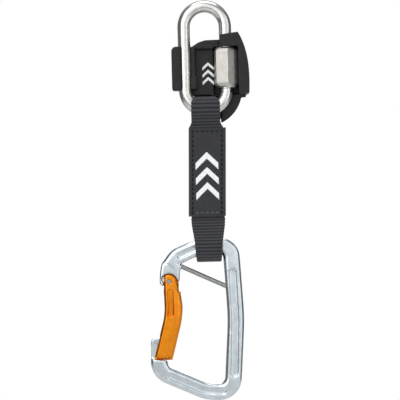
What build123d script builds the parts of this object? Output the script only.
from build123d import *
import os
from math import asin, atan2, cos, hypot, pi, radians, sin, tan

# A climbing quickdraw: a steel quick link on top, a sewn webbing sling in a stitched sleeve,
# and a bent-gate carabiner below. Millimetres. The origin is the inside top of the quick link,
# where it hangs on a bolt hanger. +Z is up, the front faces -Y, and X runs across the sling.

# ---- driving dimensions: quick link and its nut --------------------------------------------
ROD = 8.0                 # wire diameter of the quick link
LINK_HALF = 13.0          # from the centre line to each leg
LINK_LENGTH = 57.5        # clear length inside the link
NUT_FLATS = 14.0          # across the flats of the long sleeve nut
NUT_LENGTH = 25.3
NUT_TOP = -22.2           # height of the nut's upper end
NUT_TURN = 7.0            # how far the nut's front corner is turned from straight ahead
NUT_ROUND = 3.0           # rounding of the nut's ends
THREAD_CLEAR = 0.06       # radial play of a nut or pin on its shaft
THREAD_PITCH = 1.25
THREAD_DEPTH = 0.32
MOUTH = 10.5              # gap in the right leg that the nut closes

# ---- driving dimensions: moulded rubber keeper ---------------------------------------------
KEEPER_WALL = 2.8         # rubber in front of the nut's leg, and the back plate
KEEPER_CLEAR = 0.2        # rubber to steel
KEEPER_GRIP = 0.05        # play of the wire in the keeper's grooves
KEEPER_BAR = 5.9          # width of the bar outside the left leg
KEEPER_TOP = -21.2        # top of the bar and of the plate behind the left leg
KEEPER_BOTTOM = -48.8
KEEPER_LOBE = 22.9        # radius of the lobe round the lower bow
BRIDGE_TOP = -13.3        # top of the bridge over the right leg
NUT_SIDE_PLAY = 0.25      # between the nut and each wall beside it
WALL_CURVE = [(20.8, -12.9), (24.3, -20.5), (26.7, -30.5), (27.5, -41.0), (27.3, -51.5)]
WALL_INSET = 0.3          # the rubber behind the nut stays this far inside that outer curve

# ---- driving dimensions: webbing and sleeve ------------------------------------------------
SLING_X = -0.5            # the sling hangs a little to the left of the link's middle
TAPE = 2.2                # webbing thickness
TAPE_TOP = 17.4           # webbing width on the link
TAPE_MID = 20.4           # webbing width in the sleeve
TAPE_LOW = 15.8           # webbing width on the carabiner, its edges curled in
TOP_LOOP_RISE = 4.7       # outside of the upper loop above the link's lower inside
SWING_DROP = 11.5         # from the link's lower inside to the sling's bend
SLEEVE_DROP = 3.6         # from the sling's bend to the sleeve's top edge
SLEEVE_LENGTH = 55.6
SLEEVE_WIDTH = 23.5
SLEEVE_WALL = 0.8
STITCH_PITCH = 3.0
STITCH_D = 0.7
STITCH_INSET = 2.6        # from the sleeve's edge to the stitching
BAR_TACK = 12.0           # length of each bar tack

# ---- driving dimensions: carabiner ---------------------------------------------------------
BAR_W = 10.4              # width of the forged bar in the plane of the carabiner
BAR_T = 9.8               # its thickness from front to back
BAR_ROUND = 2.6           # rounding of the bar's long edges
HINGE_T = 9.6             # thickness of the hinge end, a little under the bar's
HINGE_ROUND = 1.4         # rounding of the hinge end
RECESS = 0.9              # depth of the recesses in its faces
BASKET_DROP = 19.1        # from the sleeve's bottom edge to the basket bar it hangs on
DRAWN_Z = -147.3          # height of the basket bar in the carabiner's own drawing below
LOOP_BORE = 7.5           # inner radius of the lower webbing loop
PIVOT = (-26.1, -168.7)   # gate rivet
RIVET_D = 2.6
GATE_W = 11.3             # width of the gate in the plane
GATE_T = 9.6              # its thickness from front to back
GATE_ROUND = 1.6          # rounding of the gate's edges
EAR_R = 4.8               # round top of the gate's ears
TANG_T = 4.4              # tang between the ears
TANG_CLEAR = 0.3
TANG_SLOT = 7.2           # radius of the slot between the ears, round the rivet
POCKET_W = 3.6            # width of the pocket in each face of the gate
POCKET = 0.6              # its depth
GATE_REACH = 49.3         # from the rivet to the end of the gate
GATE_OPEN = 31.0          # degrees
PLUNGER_D = 3.4
PLUNGER_SIDE = 2.4        # from the rivet to the plunger's axis, towards the inside
BARREL = 4.8              # length of the plunger below the centre of its tip
STEM = 3.0                # thin tail of the plunger inside the spring
CAM_RADIUS = 4.5          # tang radius under the plunger, gate shut
CAM_LIFT = 1.9            # cam rise in mm per radian of gate
CAM_GAP = 0.06
SPRING_WIRE = 0.5
SPRING_TURNS = 9
BORE_DEPTH = 23.0         # from the rivet to the bottom of the spring's bore
NOSE_T = 4.4              # neck of the nose
HEAD_T = 6.6              # head of the nose
NOSE_CLEAR = 0.35
NOSE_BOX = (-31.6, -203.9, -207.6)   # right side and top of the nose, and underside of its head
CAPTIVE_D = 2.9           # steel bar under the sling
CAPTIVE_LEFT = (-19.1, -159.0)
CAPTIVE_RIGHT = (10.8, -173.0)
CAPTIVE_GRIP = 3.2        # how deep each end is pressed in

# ---- sizes that follow from them -----------------------------------------------------------
ROD_R = ROD / 2
BOW_R = LINK_HALF
TOP_BOW_Z = ROD_R - BOW_R
LOW_INSIDE = -LINK_LENGTH
LOW_BOW_Z = LOW_INSIDE - ROD_R + BOW_R
NUT_BOTTOM = NUT_TOP - NUT_LENGTH
MOUTH_TOP = (NUT_TOP + NUT_BOTTOM - MOUTH) / 2 + MOUTH
MOUTH_BOTTOM = MOUTH_TOP - MOUTH
NUT_CORNER = NUT_FLATS / 2 / cos(pi / 6)
NUT_REACH = NUT_CORNER * cos(pi / 6 - radians(NUT_TURN))
NUT_SPACE = NUT_REACH + NUT_SIDE_PLAY
BEND_Z = LOW_INSIDE - SWING_DROP
SLEEVE_TOP = BEND_Z - SLEEVE_DROP
TOP_LOOP_OUT = ROD_R + 0.4 + TAPE
TOP_LOOP_Z = LOW_INSIDE + TOP_LOOP_RISE - TOP_LOOP_OUT
LOW_LOOP_OUT = LOOP_BORE + TAPE
SLEEVE_BOTTOM = SLEEVE_TOP - SLEEVE_LENGTH
MERGE_Z = SLEEVE_BOTTOM - 2.0
SWING_Z = SLEEVE_BOTTOM - BASKET_DROP
EAR_GAP = TANG_T / 2 + TANG_CLEAR
PLUNGER_R = PLUNGER_D / 2


def slab(face, front, back):
    """A flat drawing in X and Z made solid between two depths in Y."""
    return extrude(Plane.XZ.offset(-back) * face, amount=back - front)


def outline(points, radii):
    """A closed face through rounded corners."""
    return make_face(FilletPolyline(*points, radius=radii, close=True))


def box(x0, x1, y0, y1, z0, z1):
    return Pos((x0 + x1) / 2, (y0 + y1) / 2, (z0 + z1) / 2) * Box(abs(x1 - x0), abs(y1 - y0), abs(z1 - z0))


def pin(x, z, radius, front, back):
    """A round pin along Y."""
    return slab(Pos(x, z) * Circle(radius), front, back)


# ---- quick link ----------------------------------------------------------------------------
def link_wire(radius):
    lines = Line((BOW_R, MOUTH_TOP), (BOW_R, TOP_BOW_Z))
    lines += CenterArc((0, TOP_BOW_Z), BOW_R, 0, 180)
    lines += Line((-BOW_R, TOP_BOW_Z), (-BOW_R, LOW_BOW_Z))
    lines += CenterArc((0, LOW_BOW_Z), BOW_R, 180, 180)
    lines += Line((BOW_R, LOW_BOW_Z), (BOW_R, MOUTH_BOTTOM))
    path = Plane.XZ * lines
    start = Plane(origin=(BOW_R, 0, MOUTH_TOP), z_dir=(0, 0, 1))
    return sweep(start * Circle(radius), path)


def thread_grooves(low, high):
    count = int((high - low) / THREAD_PITCH)
    ring = Torus(ROD_R, THREAD_DEPTH)
    return [Pos(BOW_R, 0, high - (i + 0.5) * THREAD_PITCH) * ring for i in range(count)]


def link_body():
    body = link_wire(ROD_R)
    for ring in thread_grooves(MOUTH_TOP, NUT_TOP - 2):
        body -= ring
    for ring in thread_grooves(NUT_BOTTOM - 1.8, MOUTH_BOTTOM):
        body -= ring
    return body


def sleeve_nut():
    hexagon = Rot(0, 0, NUT_TURN - 90) * RegularPolygon(NUT_FLATS / 2, 6, major_radius=False, rotation=0)
    blank = extrude(hexagon, amount=NUT_LENGTH)
    turned = Pos(0, 0, NUT_LENGTH / 2) * Cylinder(NUT_CORNER, NUT_LENGTH)
    turned = fillet(turned.edges().filter_by(GeomType.CIRCLE), NUT_ROUND)
    bore = Pos(0, 0, NUT_LENGTH / 2) * Cylinder(ROD_R + THREAD_CLEAR, NUT_LENGTH)
    return Pos(BOW_R, 0, NUT_BOTTOM) * (blank & turned - bore)


# ---- rubber keeper -------------------------------------------------------------------------
def keeper_plate():
    left = -BOW_R - ROD_R - 4.2
    right = BOW_R + NUT_SPACE + KEEPER_BAR
    points = [
        (left, KEEPER_BOTTOM), (left, KEEPER_TOP), (-BOW_R + 4.6, KEEPER_TOP + 0.2),
        (-BOW_R + 8.1, KEEPER_TOP + 2.5), (0, KEEPER_TOP + 4.1), (BOW_R, KEEPER_TOP + 4.4),
        (right, KEEPER_TOP + 4.4), (right, LOW_INSIDE + 5.5), (left + 8, LOW_INSIDE + 5.5),
        (left + 8, KEEPER_BOTTOM)]
    radii = [1.4, 3.0, 1.5, 3.0, 9.0, 9.0, 1.5, 1.0, 1.0, 1.0]
    face = outline(points, radii)
    return slab(face, ROD_R + KEEPER_CLEAR, ROD_R + KEEPER_CLEAR + KEEPER_WALL)


def keeper_side():
    """The curved right wall, from the bridge at the top to the square end at the bottom."""
    inner = BOW_R + NUT_SPACE
    left = BOW_R - ROD_R + 0.3
    lines = Spline(*WALL_CURVE)
    lines += Polyline(WALL_CURVE[-1], (inner, WALL_CURVE[-1][1]), (inner, NUT_TOP - 1.0))
    lines += Line((inner, NUT_TOP - 1.0), (inner - 2.2, NUT_TOP + 0.4))
    lines += Polyline((inner - 2.2, NUT_TOP + 0.4), (left, NUT_TOP + 0.4), (left, BRIDGE_TOP - 1.1))
    lines += Line((left, BRIDGE_TOP - 1.1), WALL_CURVE[0])
    face = make_face(lines)
    return slab(face, -ROD_R - KEEPER_WALL, ROD_R + KEEPER_CLEAR + KEEPER_WALL)


def keeper_limit():
    """Everything to the left of the right wall's outer curve."""
    low, high = (60, -90), (60, 10)
    lines = Spline(*WALL_CURVE)
    lines += Polyline(
        WALL_CURVE[-1], (WALL_CURVE[-1][0], low[1]), (-low[0], low[1]), (-high[0], high[1]),
        (WALL_CURVE[0][0], high[1]), WALL_CURVE[0])
    return Pos(-WALL_INSET, 0, 0) * slab(make_face(lines), -30, 30)


def keeper_back():
    """Thicker rubber behind the nut, wrapped round its back corner."""
    depth = NUT_CORNER + KEEPER_CLEAR
    back = depth + 1.8
    left = BOW_R - NUT_SPACE
    body = box(left - 2, BOW_R + NUT_SPACE + 4.5, ROD_R + KEEPER_CLEAR, back, LOW_INSIDE + 4, NUT_TOP + 2.5)
    return body - box(left, BOW_R + NUT_SPACE, -ROD_R, depth, NUT_BOTTOM - 4.0, NUT_TOP + 0.4)


def keeper_lobe():
    """The lobe round the lower bow: thick beside the sling, thin where it passes behind."""
    front = TOP_LOOP_OUT + KEEPER_CLEAR
    back = front + KEEPER_WALL
    disc = Pos(0, LOW_BOW_Z) * Circle(KEEPER_LOBE)
    edge = SLING_X + TAPE_TOP / 2
    beside = disc & outline([(edge + 1, LOW_INSIDE + 6), (edge + 1, -90), (60, -90), (60, LOW_INSIDE + 6)], 0)
    behind = outline(
        [(edge - TAPE_TOP + 1.5, LOW_INSIDE + 6), (edge - TAPE_TOP + 1.5, -66.5), (edge + 1, -66.5),
         (edge + 1, LOW_INSIDE + 6)], [0.5, 2, 0, 0.5])
    return slab(beside, ROD_R + KEEPER_CLEAR, back) + slab(behind, front, back)


def keeper_ribs():
    """The rim above the recessed panel, the ridge beside the left leg and its snap lug."""
    ridge = BOW_R - ROD_R - 2.7
    right = BOW_R - ROD_R + 0.3
    deep = ROD_R + KEEPER_CLEAR + 0.5
    body = box(-ridge - 2.9, -ridge, -1.2, deep, KEEPER_BOTTOM + 0.6, KEEPER_TOP - 0.3)
    body += box(-ridge - 3.2, -ridge + 0.6, -2.4, deep, KEEPER_BOTTOM + 0.6, KEEPER_BOTTOM + 9.0)
    rim = outline(
        [(-ridge - 1, KEEPER_TOP - 1.6), (-ridge - 1, KEEPER_TOP - 0.4), (-4.9, KEEPER_TOP + 2.4),
         (0, KEEPER_TOP + 4.0), (right, KEEPER_TOP + 4.2), (right, KEEPER_TOP - 1.6)],
        [0, 0, 3.0, 9.0, 0, 0])
    return body + slab(rim, 0.8, deep)


def keeper():
    left = -BOW_R - ROD_R - 4.2
    bar = outline(
        [(left, KEEPER_BOTTOM), (left, KEEPER_TOP), (left + KEEPER_BAR, KEEPER_TOP),
         (left + KEEPER_BAR, KEEPER_BOTTOM)], [1.4, 3.0, 0.8, 1.4])
    body = (keeper_plate() + keeper_back()) & keeper_limit()
    body += slab(bar, -ROD_R - 1.0, ROD_R + KEEPER_CLEAR + KEEPER_WALL)
    body += keeper_side()
    body += keeper_lobe()
    body += keeper_ribs()
    body -= link_wire(ROD_R + KEEPER_GRIP)
    nut_room = box(
        BOW_R - NUT_SPACE, BOW_R + NUT_SPACE, -20, NUT_CORNER + KEEPER_CLEAR, NUT_BOTTOM - 4.0, NUT_TOP + 0.4)
    body -= nut_room
    tape_slot = box(
        SLING_X - TAPE_TOP / 2 - 1, SLING_X + TAPE_TOP / 2 + 1, -20, TOP_LOOP_OUT + KEEPER_CLEAR,
        BEND_Z - 5, LOW_INSIDE + TOP_LOOP_RISE + KEEPER_CLEAR)
    return body - tape_slot


# ---- webbing sling -------------------------------------------------------------------------
def teardrop(radius, centre, apex):
    """A circle drawn out to a point above or below it, in Y and Z."""
    reach = abs(apex - centre)
    side = 1 if apex > centre else -1
    lean = asin(radius / reach)
    y = radius * cos(lean)
    z = centre + side * radius * sin(lean)
    point = make_face(Polyline((y, z), (0, apex), (-y, z), close=True))
    return Pos(0, centre) * Circle(radius) + point


def across(face, half):
    """A drawing in Y and Z made solid to both sides of the sling's middle."""
    return Pos(SLING_X, 0, 0) * extrude(Plane.YZ * face, amount=half, both=True)


def tape_plan():
    """The webbing's outline from the front: wide in the sleeve and narrow on the carabiner."""
    top = TAPE_TOP / 2
    mid = TAPE_MID / 2
    low = TAPE_LOW / 2
    end = SWING_Z - LOW_LOOP_OUT
    half = [
        (top, 0), (top, BEND_Z + 2.5), (top - 0.4, BEND_Z - 0.5), (mid, SLEEVE_TOP - 3),
        (mid, SLEEVE_BOTTOM - 1), (low, SWING_Z + 4), (low, end)]
    radii = [0, 3, 3, 3, 6, 12, 2.8]
    points = half + [(-x, z) for x, z in reversed(half)]
    face = outline(points, radii + list(reversed(radii)))
    return Pos(SLING_X, 0, 0) * slab(face, -30, 30)


def wedge(side):
    """The room that the webbing leaves at its bend: a wedge opening up or down from the bend."""
    reach = 90
    spread = reach * tan(radians(44))
    gap = 0.12
    z = BEND_Z + side * gap
    return across(make_face(Polyline((0, z), (spread, z + side * reach), (-spread, z + side * reach),
                                     close=True)), 30)


def webbing_top_loop():
    outer = teardrop(TOP_LOOP_OUT, TOP_LOOP_Z, BEND_Z)
    lean = asin(TOP_LOOP_OUT / (TOP_LOOP_Z - BEND_Z))
    inner = teardrop(TOP_LOOP_OUT - TAPE, TOP_LOOP_Z, BEND_Z + TAPE / sin(lean))
    band = across(outer - inner, TAPE_TOP / 2)
    return (band & tape_plan() & wedge(1)) - link_wire(ROD_R + 0.1)


def stitch_points():
    edge = SLEEVE_WIDTH / 2 - STITCH_INSET
    rows = int((SLEEVE_LENGTH - 4) / STITCH_PITCH)
    top = SLEEVE_TOP - (SLEEVE_LENGTH - rows * STITCH_PITCH) / 2
    down = [top - i * STITCH_PITCH for i in range(rows + 1)]
    columns = int(2 * edge / STITCH_PITCH)
    step = 2 * edge / columns
    side_x = [-edge + i * step for i in range(1, columns)]
    return {
        "stitches_left": [(-edge, z) for z in down],
        "stitches_right": [(edge, z) for z in down],
        "stitches_top": [(x, down[0]) for x in side_x],
        "stitches_bottom": [(x, down[-1]) for x in side_x]}


def stitches(points, proud=0.2):
    reach = TAPE + SLEEVE_WALL + proud
    return [pin(SLING_X + x, z, STITCH_D / 2, -reach, reach) for x, z in points]


def tack_boxes(first, count, step):
    half = BAR_TACK / 2
    rows = [first - i * step for i in range(count)]
    return [box(SLING_X - half, SLING_X + half, -TAPE, TAPE, z - 0.8, z + 0.8) for z in rows]


def upper_tacks():
    return tack_boxes(SLEEVE_TOP - 6, 4, 3.6)


def lower_tacks():
    return tack_boxes(SLEEVE_BOTTOM + 16.8, 4, 3.6)


def cut_all(body, tools):
    for tool in tools:
        body -= tool
    return body


def webbing_core():
    plies = across(Pos(0, (BEND_Z + MERGE_Z) / 2) * Rectangle(2 * TAPE, BEND_Z - MERGE_Z), TAPE_MID / 2)
    body = plies & tape_plan() & wedge(-1)
    tools = upper_tacks() + lower_tacks()
    for points in stitch_points().values():
        tools += stitches(points)
    return cut_all(body, tools)


def lower_loop_face(radius, thickness):
    """Both plies leave the sleeve together and open round the carabiner's bar."""
    drop = MERGE_Z - SWING_Z
    reach = hypot(thickness, drop)
    lean = asin(radius / reach) - atan2(thickness, drop)
    y = radius * cos(lean)
    z = SWING_Z + radius * sin(lean)
    neck = make_face(Polyline((y, z), (thickness, MERGE_Z), (-thickness, MERGE_Z), (-y, z), close=True))
    return Pos(0, SWING_Z) * Circle(radius) + neck, lean


def webbing_bottom_loop():
    outer, lean = lower_loop_face(LOW_LOOP_OUT, TAPE)
    inner = teardrop(LOOP_BORE, SWING_Z, SWING_Z + LOOP_BORE / sin(lean))
    return across(outer - inner, TAPE_MID / 2) & tape_plan()


def sleeve_panel(side):
    """One side of the stitched sleeve: a shallow tray over the webbing, side -1 is the front."""
    half = SLEEVE_WIDTH / 2
    room = TAPE_MID / 2 + 0.1
    deep = TAPE + 0.03
    out = deep + SLEEVE_WALL
    outer = Polyline(
        (-half, 0), (-half, side * 1.5), (-half + 0.9, side * out), (half - 0.9, side * out),
        (half, side * 1.5), (half, 0), close=True)
    hollow = Polyline((-room, 0), (-room, side * deep), (room, side * deep), (room, 0), close=True)
    tray = make_face(outer) - make_face(hollow)
    body = Pos(SLING_X, 0, SLEEVE_BOTTOM) * extrude(tray, amount=SLEEVE_LENGTH)
    tools = []
    for points in stitch_points().values():
        tools += stitches(points)
    return cut_all(body, tools)


# ---- carabiner body ------------------------------------------------------------------------
BAR_POINTS = [
    (-33.5, -213.0), (-33.5, -225.2), (-3.5, -238.6), (12.4, -239.0), (15.6, -193.0),
    (13.3, -147.8), (3.0, -145.9), (-10.4, -148.6), (-21.0, -153.2), (-26.2, -160.2)]
BAR_RADII = [9.5, 26, 9, 150, 8, 19, 30, 9]


def unit(a, b):
    length = hypot(b[0] - a[0], b[1] - a[1])
    return (b[0] - a[0]) / length, (b[1] - a[1]) / length


def band(points, radii, width):
    """A strip of even width along a line with rounded corners, its two edges on the same centres."""
    edges = {1: [], -1: []}
    rounds = {1: [], -1: []}
    last = len(points) - 1
    for i, point in enumerate(points):
        into = unit(points[max(i - 1, 0)], points[max(i, 1)])
        out = unit(points[min(i, last - 1)], points[min(i + 1, last)])
        turn = atan2(into[0] * out[1] - into[1] * out[0], into[0] * out[0] + into[1] * out[1])
        reach = width / 2 / cos(turn / 2)
        nx, nz = -(into[1] + out[1]), into[0] + out[0]
        size = hypot(nx, nz)
        for side in (1, -1):
            edges[side].append((point[0] + side * reach * nx / size, point[1] + side * reach * nz / size))
            if 0 < i < last:
                bend = 1 if turn > 0 else -1
                rounds[side].append(radii[i - 1] - side * bend * width / 2)
    radii = [0] + rounds[1] + [0, 0] + rounds[-1][::-1] + [0]
    return outline(edges[1] + edges[-1][::-1], radii)


def groove(points, radii, width):
    strip = band(points, radii, width)
    for x, z in (points[0], points[-1]):
        strip += Pos(x, z) * Circle(width / 2)
    return strip


def hinge_block():
    x, z = PIVOT
    corners = [
        (-4.3, 11.6), (-5.2, 7.9), (-5.7, 4.0), (-6.0, -2.8), (0, -2.8), (6.6, -0.4), (6.9, 5.5), (8.6, 9.8),
        (4.0, 13.0)]
    radii = [0, 4, 4, 2.3, 0, 2.0, 3.0, 0, 0]
    return outline([(x + dx, z + dz) for dx, dz in corners], radii)


def ear_room():
    """Where the ears turn: cut from both faces of the hinge end."""
    x, z = PIVOT
    below = outline(
        [(x - 5.0, z + 1.2), (x - 3.6, z - 0.8), (x - 3.6, z - 12), (x + 12, z - 12), (x + 12, z + 0.2),
         (x + EAR_R + 1.4, z + 0.2), (x + EAR_R + 0.8, z + 1.2)], 0)
    above = Pos(x, z) * Circle(EAR_R + 0.35)
    above &= outline([(x - 9, z + 1.1), (x - 9, z + 9), (x + 9, z + 9), (x + 9, z + 1.1)], 0)
    return below + above


def cam_face():
    """The tang between the ears. Its edge keeps one gap from the plunger's tip at every gate angle."""
    x, z = PIVOT
    across_x = plunger_x() - x
    rim = []
    for turn in (radians(angle) for angle in range(-36, int(GATE_OPEN) + 8, 6)):
        rise = CAM_LIFT if turn > 0 else 0.0
        down = tip_height() + rise * turn
        tip_x = across_x * cos(turn) + down * sin(turn)
        tip_z = across_x * sin(turn) - down * cos(turn)
        slope_x = -tip_z + rise * sin(turn)
        slope_z = tip_x - rise * cos(turn)
        share = (PLUNGER_R + CAM_GAP) / hypot(slope_x, slope_z)
        rim.append((x + tip_x - slope_z * share, z + tip_z + slope_x * share))
    lines = Spline(*rim)
    lines += Polyline(rim[-1], (x + 5.4, z + 1.4), (x + 3, z + 6), (x - 4, z + 6), (x - 3.4, z - 1.8), rim[0])
    return make_face(lines)


def plunger_x():
    return PIVOT[0] + PLUNGER_SIDE


def tip_height():
    """From the rivet down to the centre of the plunger's round tip, gate shut."""
    return ((CAM_RADIUS + PLUNGER_R) ** 2 - PLUNGER_SIDE ** 2) ** 0.5


def nose_face():
    """The neck of the nose, in the plane of the carabiner."""
    right, top = NOSE_BOX[:2]
    return outline(
        [(-38.5, -219), (-38.5, -207.0), (-37.5, top), (right, top), (right, -219)], [0, 3, 1, 0.6, 0])


def head_face():
    """The head on the neck, which the gate's end closes round."""
    right, top, low = NOSE_BOX
    return outline([(-38.3, low), (-37.6, top), (right, top), (right, low)], [0, 0.8, 0.5, 0])


def captive_bar():
    (x0, z0), (x1, z1) = CAPTIVE_LEFT, CAPTIVE_RIGHT
    length = hypot(x1 - x0, z1 - z0)
    ux, uz = (x1 - x0) / length, (z1 - z0) / length
    base = Plane(origin=(x0 - ux * CAPTIVE_GRIP, 0, z0 - uz * CAPTIVE_GRIP), z_dir=(ux, 0, uz))
    return extrude(base * Circle(CAPTIVE_D / 2), amount=length + 2 * CAPTIVE_GRIP)


def recesses():
    """The forged recesses in the bar's faces: the long spine, the lower arm and the upper arm."""
    spine = groove([(13.6, -227.0), (15.0, -193.0), (13.9, -164.0)], [150], 4.6)
    lower = groove([(-26.0, -228.4), (-5.6, -237.6), (6.0, -238.4)], [26], 3.6)
    upper = groove([(-9.0, -148.4), (-19.0, -152.7)], [], 3.4)
    return spine, lower, upper


def rounded(face, thickness, radius):
    """A plate on the middle plane with its long edges rounded."""
    solid = slab(face, -thickness / 2, thickness / 2)
    return fillet(solid.edges().filter_by(Plane.XZ), radius)


def rounded_bar():
    bar = rounded(band(BAR_POINTS, BAR_RADII, BAR_W), BAR_T, BAR_ROUND)
    return bar + rounded(hinge_block(), HINGE_T, HINGE_ROUND)


def carabiner_body():
    x, z = PIVOT
    body = rounded_bar()
    room = ear_room()
    half = BAR_T / 2
    body -= slab(room, TANG_T / 2, half + 1)
    body -= slab(room, -half - 1, -TANG_T / 2)
    below = outline([(x - 3.6, z - 2.0), (x - 3.6, z - 20), (x + 20, z - 20), (x + 20, z - 2.0)], 0)
    body -= slab(below, -half, half)
    body += slab(cam_face(), -TANG_T / 2, TANG_T / 2)
    body -= slab(Pos(x, z) * Circle(GATE_REACH + NOSE_CLEAR) - Pos(x, z) * Circle(GATE_REACH - 8)
                 & outline([(-60, -200), (-60, -230), (-20, -230), (-20, -200)], 0), -half, half)
    body += slab(nose_face(), -NOSE_T / 2, NOSE_T / 2)
    body += slab(head_face(), -HEAD_T / 2, HEAD_T / 2)
    for strip in recesses():
        body -= slab(strip, half - RECESS, half + 1)
        body -= slab(strip, -half - 1, RECESS - half)
    body -= pin(x, z, RIVET_D / 2 + THREAD_CLEAR, -half, half)
    return body - captive_bar()


# ---- gate ----------------------------------------------------------------------------------
def gate_blank():
    x, z = PIVOT
    face = band([(x + 2.2, z - 6.6), (x + 2.6, z - 21.0), (x - 5.6, z - 52.0)], [45], GATE_W)
    beside = outline([(x - 3.1, z - 9), (x - 3.1, z + 9), (x + 9, z + 9), (x + 9, z - 9)], 0)
    ears = Pos(x, z) * Circle(EAR_R) & beside
    ears += outline(
        [(x - 3.1, z), (x - 3.6, z - 7.5), (x + 8.0, z - 7.5), (x + 4.9, z - 5.4), (x + EAR_R, z)],
        [0, 0, 0.4, 0.8, 0])
    face = face + ears
    return face & Pos(x, z) * Circle(GATE_REACH)


def gate():
    x, z = PIVOT
    half = GATE_T / 2
    body = rounded(gate_blank(), GATE_T, GATE_ROUND)
    slot = Pos(x, z) * Circle(TANG_SLOT)
    slot += outline([(x - 12, z - 3), (x - 12, z + 12), (x + 12, z + 12), (x + 12, z - 3)], 0)
    body -= slab(slot, -EAR_GAP, EAR_GAP)
    body -= pin(x, z, RIVET_D / 2, -half, half)
    bore_top = z - 4.0
    body -= Pos(plunger_x(), 0, (bore_top + z - BORE_DEPTH) / 2) * Cylinder(
        PLUNGER_R + CAM_GAP, bore_top - z + BORE_DEPTH)
    neck = NOSE_T / 2 + NOSE_CLEAR
    head = HEAD_T / 2 + NOSE_CLEAR
    right, top, low = NOSE_BOX[0] + 0.7, NOSE_BOX[1] + 1.3, NOSE_BOX[2] - 0.4
    body -= slab(outline([(-45, -225), (-45, top), (right, top), (right, -225)], 0), -neck, neck)
    body -= slab(outline([(-45, low), (-45, top), (right, top), (right, low - 0.4)], 0), -head, head)
    pocket = groove([(x + 0.6, z - 6.5), (x + 1.0, z - 20.0)], [], POCKET_W)
    body -= slab(pocket, -half - 1, POCKET - half)
    body -= slab(pocket, half - POCKET, half + 1)
    return body


def gate_rivet():
    x, z = PIVOT
    half = GATE_T / 2
    return pin(x, z, RIVET_D / 2, -half - 0.15, half + 0.15)


def plunger():
    top = PIVOT[1] - tip_height()
    ball = Pos(plunger_x(), 0, top) * Sphere(PLUNGER_R)
    barrel = Pos(plunger_x(), 0, top - BARREL / 2) * Cylinder(PLUNGER_R, BARREL)
    stem = Pos(plunger_x(), 0, top - BARREL - STEM / 2) * Cylinder(0.8, STEM)
    return ball + barrel + stem


def gate_spring():
    top = PIVOT[1] - tip_height() - BARREL - SPRING_WIRE / 2 - 0.02
    bottom = PIVOT[1] - BORE_DEPTH + SPRING_WIRE / 2 + 0.02
    radius = PLUNGER_R - SPRING_WIRE / 2 - 0.15
    height = top - bottom
    coil = Helix(pitch=height / SPRING_TURNS, height=height, radius=radius)
    start = Plane(origin=coil @ 0, z_dir=coil % 0)
    wire = sweep(start * Circle(SPRING_WIRE / 2), coil, is_frenet=True)
    return Pos(plunger_x(), 0, bottom) * wire


# ---- write one STEP file for each piece ----------------------------------------------------
def build():
    stitching = {name: Compound(children=stitches(points)) for name, points in stitch_points().items()}
    hang = Pos(0, 0, SWING_Z - DRAWN_Z)
    pieces = {
        "link_body": link_body(),
        "sleeve_nut": sleeve_nut(),
        "keeper": keeper(),
        "webbing_top_loop": webbing_top_loop(),
        "webbing_core": webbing_core(),
        "webbing_bottom_loop": webbing_bottom_loop(),
        "sleeve_front": sleeve_panel(-1),
        "sleeve_back": sleeve_panel(1),
        "upper_bar_tacks": Compound(children=upper_tacks()),
        "lower_bar_tacks": Compound(children=lower_tacks()),
        "carabiner_body": hang * carabiner_body(),
        "captive_bar": hang * captive_bar(),
        "gate": hang * gate(),
        "gate_rivet": hang * gate_rivet(),
        "plunger": hang * plunger(),
        "gate_spring": hang * gate_spring()}
    pieces.update(stitching)
    return pieces


os.makedirs("parts", exist_ok=True)
for name, piece in build().items():
    export_step(piece, f"parts/{name}.step")
    size = piece.bounding_box().size
    print(f"{name}: {size.X:.1f} x {size.Y:.1f} x {size.Z:.1f} mm")
